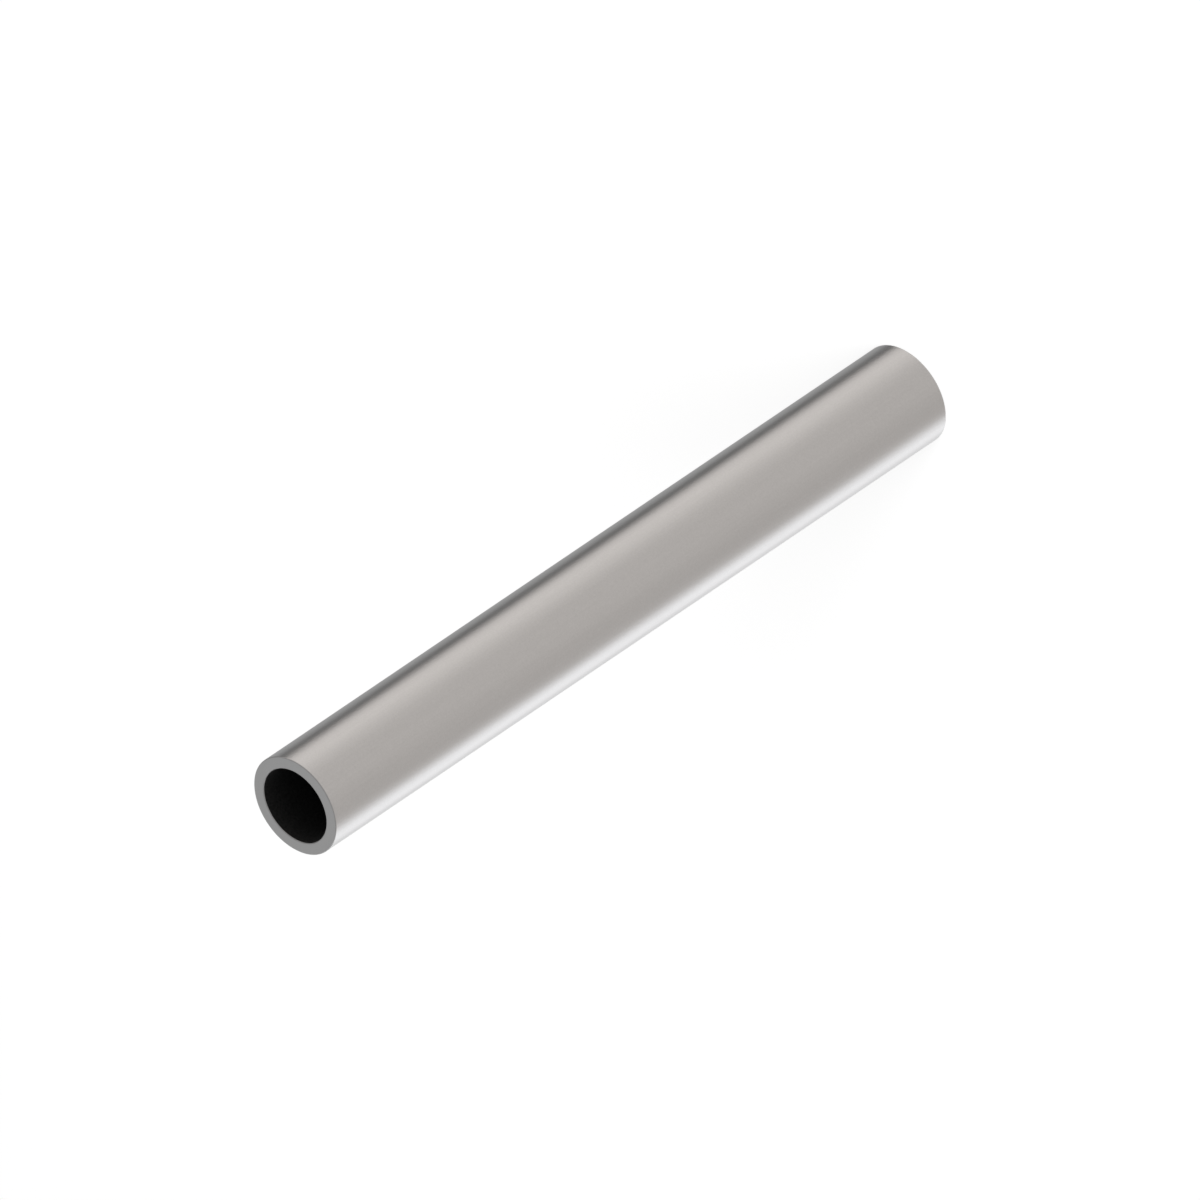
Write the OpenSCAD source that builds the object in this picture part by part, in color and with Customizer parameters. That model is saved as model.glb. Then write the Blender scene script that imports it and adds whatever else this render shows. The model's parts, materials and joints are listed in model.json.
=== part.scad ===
// Plain sleeve bushing: a straight steel tube with a bore right through it and square ends.
// It stands on one end. The origin is the centre of that end, and +Z runs along the bore.

/* [Sleeve] */
// Diameter of the bore that takes the shaft
bore_d = 19.3; // [6:0.1:60]
// Thickness of the wall between the bore and the outside
wall = 3.05; // [1:0.05:8]
// Length over the two end faces
length = 211; // [10:0.5:400]

/* [Edges] */
// Edge break around the outside of each end
outer_break = 0.2; // [0.1:0.05:0.4]
// Edge break around each mouth of the bore
bore_break = 0.2; // [0.1:0.05:0.4]

/* [Hidden] */
bore_r = bore_d / 2;
outer_r = bore_r + wall;
steel_grey = [0.67, 0.66, 0.64];
segments = 128;

// Section through the wall on one side of the axis: radius along X, height along Y.
module wall_section() {
    polygon([
        [bore_r + bore_break, 0],
        [outer_r - outer_break, 0],
        [outer_r, outer_break],
        [outer_r, length - outer_break],
        [outer_r - outer_break, length],
        [bore_r + bore_break, length],
        [bore_r, length - bore_break],
        [bore_r, bore_break]
    ]);
}

// The whole sleeve, turned from its wall section about the bore axis.
module bushing() {
    color(steel_grey)
        rotate_extrude($fn = segments)
            wall_section();
}

bushing();
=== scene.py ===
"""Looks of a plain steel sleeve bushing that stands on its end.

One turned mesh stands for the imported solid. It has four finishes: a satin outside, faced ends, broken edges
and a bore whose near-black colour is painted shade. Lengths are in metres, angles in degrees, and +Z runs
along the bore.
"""

import json
import math

import bmesh
import bpy
from mathutils import Matrix, Vector


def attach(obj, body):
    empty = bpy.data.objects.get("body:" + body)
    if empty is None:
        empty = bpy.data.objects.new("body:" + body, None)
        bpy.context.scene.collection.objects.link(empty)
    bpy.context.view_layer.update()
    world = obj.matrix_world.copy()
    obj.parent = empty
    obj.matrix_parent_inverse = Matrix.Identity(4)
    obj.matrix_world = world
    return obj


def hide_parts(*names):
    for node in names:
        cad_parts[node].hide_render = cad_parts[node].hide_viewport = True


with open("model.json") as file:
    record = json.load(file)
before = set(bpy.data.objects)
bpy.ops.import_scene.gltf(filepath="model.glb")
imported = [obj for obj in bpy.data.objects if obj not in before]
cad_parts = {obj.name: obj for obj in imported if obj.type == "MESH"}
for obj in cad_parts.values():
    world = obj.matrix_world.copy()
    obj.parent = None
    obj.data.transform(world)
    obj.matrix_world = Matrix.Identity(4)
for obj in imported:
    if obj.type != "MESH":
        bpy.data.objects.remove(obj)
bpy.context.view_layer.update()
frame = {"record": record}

MM = 0.001

# Sizes of the sleeve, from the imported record
MOUNTS = {mount["name"]: mount for mount in frame["record"]["mounts"]}
OUTER_R = MOUNTS["outside"]["dims"]["r_mm"] * MM
BORE_R = MOUNTS["bore"]["dims"]["r_mm"] * MM
LENGTH = MOUNTS["upper_face"]["pos_m"][2]
OUTER_BREAK = (LENGTH - MOUNTS["outside"]["dims"]["length_mm"] * MM) / 2
BORE_BREAK = (LENGTH - MOUNTS["bore"]["dims"]["length_mm"] * MM) / 2

# Mesh of the sleeve
SEGMENTS = 256  # faces round the axis
WALL_RINGS = 24  # faces along the outside and along the bore
FACE_RINGS = 4  # faces across an end
HOLD = 0.06 * MM  # a ring this close to each corner keeps the shading of the flat stretches straight

# Place of each stretch of skin on the map that its finish is laid on: left, bottom, right, top
SKINS = {
    "outside": (0.000, 0.05, 0.565, 1.00),
    "bore": (0.575, 0.05, 1.000, 1.00),
    "top": (0.000, 0.00, 0.490, 0.03),
    "foot": (0.510, 0.00, 1.000, 0.03),
}

# Finishes, in the order of the mesh's material slots
FINISHES = ("outside", "ends", "edges", "bore")
SATIN_SHARE = 0.67  # of the satin grain in the tone of the outside; the drawn lines make the rest

# View: parallel lines, looking down on the sleeve.
# The picture is turned about the line of sight until the sleeve slants across it.
VIEW_HEIGHT = 36.49  # of the camera above the horizon
VIEW_SLANT = 34.03  # of the sleeve's axis from level in the picture, with its top end at the lower left
VIEW_WIDTH = 276.4 * MM  # across the square picture
VIEW_DISTANCE = 1.0  # of the camera from the sleeve's middle

# Studio: a white background with panels hung in it, at azimuths from the camera's side round to +X.
# The metal mirrors the panels and the background between them, and the picture shows the background alone.
WHITE = 1.0  # level of the background that is seen or mirrored
SOFT_LIGHT = 0.8  # level of the background that lights matt surfaces
NEUTRAL = (1.0, 1.0, 1.0)
WARM = (1.0, 0.948, 0.911)
COOL = (1.0, 1.0, 1.012)
PANELS = {
    # azimuth, half-width, softness of the edge, level, tint
    "front": (0, 128, 30, 0.92, WARM),
    "left of the camera": (-72, 36, 57, 0.815, WARM),
    "right-hand fill": (80, 25, 60, 1.29, WARM),
    "right rear": (145, 37, 18, 0.55, NEUTRAL),
    "dark flag": (117, 10, 24, 0.04, NEUTRAL),
    "bright strip": (-120.5, 20, 31, 1.79, COOL),
}
CEILING = 0.60  # level of the ceiling
CEILING_FROM = (0.15, 0.45)  # height of a direction, on a unit sphere, over which the ceiling comes in
LAMP_PLACE = (0.0, -1.2, 2.0)
LAMP_SIZE = 1.2  # side of the square lamp
LAMP_POWER = 46.0  # in watts
FLOOR_HALF = 3.0  # half of the floor's side
FLOOR_TONE = 0.9  # level of the floor's matt colour
FLOOR_SHADE = 0.25  # share of the open floor's look that takes the shadow; the rest is plain white

# Kinds of ray in Light Path: what the camera sees, straight or through glass, and what metal mirrors
SEEN = ("Is Camera Ray", "Is Transmission Ray")
MIRRORED = ("Is Glossy Ray",)

# Sockets of a Mix node that is set to colours
MIX_FACTOR, MIX_FIRST, MIX_SECOND, MIX_RESULT = 0, 6, 7, 2


def add(tree, kind, inputs=(), **settings):
    """Adds a node. inputs gives each input's value, or the output that feeds it."""
    node = tree.nodes.new(kind)
    for name, value in settings.items():
        setattr(node, name, value)
    for name, value in dict(inputs).items():
        if isinstance(value, bpy.types.NodeSocket):
            tree.links.new(value, node.inputs[name])
        else:
            node.inputs[name].default_value = value
    return node


def between(tree, value, low, high):
    """Takes a value from 0 to 1 to one from low to high."""
    return add(tree, "ShaderNodeMapRange", {"Value": value, "To Min": low, "To Max": high}).outputs["Result"]


def ramp(tree, value, start, end):
    """Goes smoothly from 0 to 1 as a value goes from start to end."""
    inputs = {"Value": value, "From Min": start, "From Max": end}
    return add(tree, "ShaderNodeMapRange", inputs, interpolation_type="SMOOTHSTEP").outputs["Result"]


def colour(level, tint=NEUTRAL):
    """An opaque colour of this level and tint."""
    return (*(level * part for part in tint), 1.0)


def mix_colours(tree, factor, first, second):
    """Goes from the first colour to the second as factor goes from 0 to 1."""
    inputs = {MIX_FACTOR: factor, MIX_FIRST: first, MIX_SECOND: second}
    return add(tree, "ShaderNodeMix", inputs, data_type="RGBA").outputs[MIX_RESULT]


def level_part(tree, vector):
    """The part of a vector that is square to the sleeve's axis."""
    return add(tree, "ShaderNodeVectorMath", {0: vector, 1: (1, 1, 0)}, operation="MULTIPLY").outputs[0]


def axis_distance(tree):
    """Distance of a place from the sleeve's axis."""
    place = add(tree, "ShaderNodeTexCoord").outputs["Object"]
    inputs = {0: level_part(tree, place)}
    return add(tree, "ShaderNodeVectorMath", inputs, operation="LENGTH").outputs["Value"]


def grain(tree, size):
    """Even noise in grains of about this size."""
    place = add(tree, "ShaderNodeTexCoord").outputs["Object"]
    inputs = {"Vector": place, "Scale": 1 / size, "Detail": 1.0}
    return add(tree, "ShaderNodeTexNoise", inputs).outputs["Fac"]


def streaks(tree, across, along):
    """Noise drawn out along the bore, in lines of about this width and length."""
    place = add(tree, "ShaderNodeTexCoord").outputs["Object"]
    scale = (1 / across, 1 / across, 1 / along)
    drawn = add(tree, "ShaderNodeMapping", {"Vector": place, "Scale": scale}).outputs["Vector"]
    return add(tree, "ShaderNodeTexNoise", {"Vector": drawn, "Scale": 1.0, "Detail": 3.0}).outputs["Fac"]


def turned_rings(tree, pitch):
    """Noise in rings round the axis, as a facing cut leaves, at about this pitch."""
    inputs = {"W": axis_distance(tree), "Scale": 1 / pitch, "Detail": 2.0}
    return add(tree, "ShaderNodeTexNoise", inputs, noise_dimensions="1D").outputs["Fac"]


def new_metal(name):
    """A metal with nodes: the material, its tree and its shader."""
    material = bpy.data.materials.new(name)
    material.use_nodes = True
    tree = material.node_tree
    shader = tree.nodes["Principled BSDF"]
    shader.inputs["Metallic"].default_value = 1.0
    return material, tree, shader


def vary(tree, socket, marks, low, high):
    """Lets marks take a socket's value from low to high."""
    tree.links.new(between(tree, marks, low, high), socket)


def roughen(tree, shader, height, depth):
    """Gives the shader a surface whose height varies by this depth."""
    bump = add(tree, "ShaderNodeBump", {"Height": height, "Distance": depth})
    tree.links.new(bump.outputs["Normal"], shader.inputs["Normal"])


def satin_steel():
    """Drawn steel with a fine satin grain, and the faint lines that drawing leaves along it."""
    material, tree, shader = new_metal("satin_steel")
    satin = grain(tree, size=0.4 * MM)
    lines = streaks(tree, across=0.5 * MM, along=30 * MM)
    bands = streaks(tree, across=5 * MM, along=40 * MM)
    marks = add(tree, "ShaderNodeMix", {"Factor": SATIN_SHARE, "A": lines, "B": satin}).outputs["Result"]
    vary(tree, shader.inputs["Base Color"], marks, low=0.41, high=0.51)
    vary(tree, shader.inputs["Roughness"], bands, low=0.28, high=0.30)
    roughen(tree, shader, satin, depth=0.03 * MM)
    return material


def faced_steel():
    """Steel cut square across, with fine rings from the facing cut."""
    material, tree, shader = new_metal("faced_steel")
    rings = turned_rings(tree, pitch=0.25 * MM)
    vary(tree, shader.inputs["Base Color"], rings, low=0.44, high=0.48)
    vary(tree, shader.inputs["Roughness"], rings, low=0.28, high=0.40)
    roughen(tree, shader, rings, depth=0.004 * MM)
    return material


def broken_edge():
    """The narrow file-broken edges of the ends, matt beside the faces that they part."""
    material, tree, shader = new_metal("broken_edge")
    nicks = grain(tree, size=0.5 * MM)
    vary(tree, shader.inputs["Base Color"], nicks, low=0.34, high=0.44)
    vary(tree, shader.inputs["Roughness"], nicks, low=0.50, high=0.65)
    return material


def bore_painted_shade():
    """Drawn steel coloured near-black as painted shade, for the shade deep in the bore, with a fine random
    speckle.
    """
    material, tree, shader = new_metal("bore_painted_shade")
    specks = grain(tree, size=0.5 * MM)
    # Painted shade: the near-black colour stands in for the shade deep inside the bore.
    vary(tree, shader.inputs["Base Color"], specks, low=0.03, high=0.09)
    vary(tree, shader.inputs["Roughness"], specks, low=0.55, high=0.70)
    roughen(tree, shader, specks, depth=0.03 * MM)
    return material


def section():
    """Corners of the wall's section, in order round it.

    Each has its radius and height, then the skin, finish and count of faces of the stretch that follows it.
    """
    return (
        (OUTER_R, OUTER_BREAK, "outside", "outside", WALL_RINGS),
        (OUTER_R, LENGTH - OUTER_BREAK, "top", "edges", 1),
        (OUTER_R - OUTER_BREAK, LENGTH, "top", "ends", FACE_RINGS),
        (BORE_R + BORE_BREAK, LENGTH, "top", "edges", 1),
        (BORE_R, LENGTH - BORE_BREAK, "bore", "bore", WALL_RINGS),
        (BORE_R, BORE_BREAK, "foot", "edges", 1),
        (BORE_R + BORE_BREAK, 0.0, "foot", "ends", FACE_RINGS),
        (OUTER_R - OUTER_BREAK, 0.0, "foot", "edges", 1),
    )


def steps(reach, count):
    """Shares of a stretch at which its rings sit: evenly spaced, with one held close to each corner."""
    if count == 1:
        return [0.0]
    hold = HOLD / reach
    return [0.0, hold, *(i / count for i in range(1, count)), 1.0 - hold]


def section_rings():
    """Rings of the mesh in order round the section, and the whole length of each skin.

    Each ring has its radius, height, skin and finish, and the way gone along the skin.
    """
    corners = section()
    rings = []
    gone = dict.fromkeys(SKINS, 0.0)
    for corner, following in zip(corners, corners[1:] + corners[:1]):
        radius, height, skin, finish, count = corner
        reach = math.dist(corner[:2], following[:2])
        for share in steps(reach, count):
            r = radius + share * (following[0] - radius)
            z = height + share * (following[1] - height)
            rings.append((r, z, skin, finish, gone[skin] + share * reach))
        gone[skin] += reach
    return rings, gone


def map_place(skin, turn, way):
    """Place on the map, from the shares gone round the axis and along a skin."""
    left, bottom, right, top = SKINS[skin]
    return left + (right - left) * turn, bottom + (top - bottom) * way


def sleeve_mesh():
    """Turns the section about the axis, with a finish and a place on the map for each face."""
    rings, whole = section_rings()
    mesh = bmesh.new()
    skin_map = mesh.loops.layers.uv.new("OFBake")
    turns = [2 * math.pi * i / SEGMENTS for i in range(SEGMENTS)]
    grid = [[mesh.verts.new((r * math.cos(a), r * math.sin(a), z)) for a in turns] for r, z, *_ in rings]
    for j, (_, _, skin, finish, gone) in enumerate(rings):
        following = (j + 1) % len(rings)
        _, _, next_skin, _, next_gone = rings[following]
        reached = next_gone if next_skin == skin else whole[skin]
        for i in range(SEGMENTS):
            beside = (i + 1) % SEGMENTS
            corners = (grid[j][i], grid[j][beside], grid[following][beside], grid[following][i])
            face = mesh.faces.new(corners)
            face.smooth = True
            face.material_index = FINISHES.index(finish)
            places = ((i, gone), (i + 1, gone), (i + 1, reached), (i, reached))
            for loop, (turn, way) in zip(face.loops, places):
                loop[skin_map].uv = map_place(skin, turn / SEGMENTS, way / whole[skin])
    data = bpy.data.meshes.new("sleeve")
    mesh.to_mesh(data)
    mesh.free()
    return data


def make_sleeve():
    """The whole sleeve, with its finishes."""
    data = sleeve_mesh()
    makers = {"outside": satin_steel, "ends": faced_steel, "edges": broken_edge, "bore": bore_painted_shade}
    for finish in FINISHES:
        data.materials.append(makers[finish]())
    sleeve = bpy.data.objects.new("sleeve", data)
    bpy.context.scene.collection.objects.link(sleeve)
    return sleeve


def direction(azimuth, height=0.0):
    """Unit vector towards an azimuth, from the camera's side round to +X, and a height above the horizon."""
    a, h = math.radians(azimuth), math.radians(height)
    return Vector((math.sin(a) * math.cos(h), -math.cos(a) * math.cos(h), math.sin(h)))


def make_camera():
    """Looks at the sleeve's middle from the front and above.

    The camera is turned about its line of sight, so that the sleeve slants across the picture.
    """
    back = direction(0, VIEW_HEIGHT)
    side = Vector((1, 0, 0))
    rise = back.cross(side)
    slant = math.radians(VIEW_SLANT)
    right = -math.sin(slant) * side - math.cos(slant) * rise
    up = math.cos(slant) * side - math.sin(slant) * rise
    turned = Matrix((right, up, back)).transposed().to_4x4()
    middle = Vector((0, 0, LENGTH / 2))
    data = bpy.data.cameras.new("camera")
    data.type = "ORTHO"
    data.ortho_scale = VIEW_WIDTH
    camera = bpy.data.objects.new("camera", data)
    camera.matrix_world = Matrix.Translation(middle + VIEW_DISTANCE * back) @ turned
    bpy.context.scene.collection.objects.link(camera)
    bpy.context.scene.camera = camera


def ray_share(tree, kinds):
    """1 for rays of these kinds, and 0 for the rest."""
    path = add(tree, "ShaderNodeLightPath").outputs
    share = path[kinds[0]]
    for kind in kinds[1:]:
        share = add(tree, "ShaderNodeMath", {0: share, 1: path[kind]}, operation="MAXIMUM").outputs[0]
    return share


def floor_finish():
    """Plain white that keeps a soft shadow, and is dark inside the bore, where no light reaches it."""
    material = bpy.data.materials.new("floor")
    material.use_nodes = True
    tree = material.node_tree
    tree.nodes.remove(tree.nodes["Principled BSDF"])
    matt = add(tree, "ShaderNodeBsdfDiffuse", {"Color": colour(FLOOR_TONE)}).outputs[0]
    white = add(tree, "ShaderNodeEmission", {"Color": colour(WHITE)}).outputs[0]
    limits = {0: axis_distance(tree), 1: BORE_R}
    inside = add(tree, "ShaderNodeMath", limits, operation="LESS_THAN").outputs[0]
    shade = between(tree, inside, low=FLOOR_SHADE, high=1.0)
    shaded = add(tree, "ShaderNodeMixShader", {0: shade, 1: white, 2: matt}).outputs[0]
    shown = ray_share(tree, SEEN + MIRRORED)
    look = add(tree, "ShaderNodeMixShader", {0: shown, 1: matt, 2: shaded}).outputs[0]
    tree.links.new(look, tree.nodes["Material Output"].inputs["Surface"])
    return material


def make_floor():
    """The floor that the sleeve stands on. Mirrored rays pass it, so that the panels reach the foot."""
    data = bpy.data.meshes.new("floor")
    signs = ((-1, -1), (1, -1), (1, 1), (-1, 1))
    data.from_pydata([(x * FLOOR_HALF, y * FLOOR_HALF, 0.0) for x, y in signs], [], [range(4)])
    data.materials.append(floor_finish())
    floor = bpy.data.objects.new("floor", data)
    floor.visible_glossy = False
    bpy.context.scene.collection.objects.link(floor)


def panel_share(tree, way, azimuth, half_width, softness):
    """How much of a panel a level direction meets, from 0 to 1."""
    towards = add(tree, "ShaderNodeVectorMath", {0: way, 1: direction(azimuth)}, operation="DOT_PRODUCT")
    angle = add(tree, "ShaderNodeMath", {0: towards.outputs["Value"]}, operation="ARCCOSINE").outputs[0]
    outer = math.radians(half_width + softness / 2)
    inner = math.radians(half_width - softness / 2)
    return ramp(tree, angle, start=outer, end=inner)


def make_studio():
    """The white background, with the panels and a grey ceiling in it for the light and the metal."""
    world = bpy.data.worlds.new("studio")
    world.use_nodes = True
    bpy.context.scene.world = world
    tree = world.node_tree
    way = add(tree, "ShaderNodeTexCoord").outputs["Generated"]
    inputs = {0: level_part(tree, way)}
    level_way = add(tree, "ShaderNodeVectorMath", inputs, operation="NORMALIZE").outputs[0]
    shown = ray_share(tree, SEEN + MIRRORED)
    background = mix_colours(tree, shown, colour(SOFT_LIGHT), colour(WHITE))
    studio = background
    for azimuth, half_width, softness, level, tint in PANELS.values():
        share = panel_share(tree, level_way, azimuth, half_width, softness)
        studio = mix_colours(tree, share, studio, colour(level, tint))
    height = add(tree, "ShaderNodeSeparateXYZ", {0: way}).outputs["Z"]
    studio = mix_colours(tree, ramp(tree, height, *CEILING_FROM), studio, colour(CEILING))
    surroundings = mix_colours(tree, ray_share(tree, SEEN), studio, background)
    tree.links.new(surroundings, tree.nodes["Background"].inputs["Color"])


def make_lamp():
    """One soft lamp, in front and above, for the shadow on the floor. The metal doesn't mirror it."""
    data = bpy.data.lights.new("lamp", "AREA")
    data.size = LAMP_SIZE
    data.energy = LAMP_POWER
    lamp = bpy.data.objects.new("lamp", data)
    lamp.location = LAMP_PLACE
    lamp.rotation_euler = Vector(LAMP_PLACE).to_track_quat("Z", "Y").to_euler()
    lamp.visible_glossy = False
    bpy.context.scene.collection.objects.link(lamp)


bpy.context.scene.view_settings.view_transform = "Standard"
make_camera()
make_studio()
make_lamp()
make_floor()

sleeve = make_sleeve()
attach(sleeve, "root")
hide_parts("bushing")
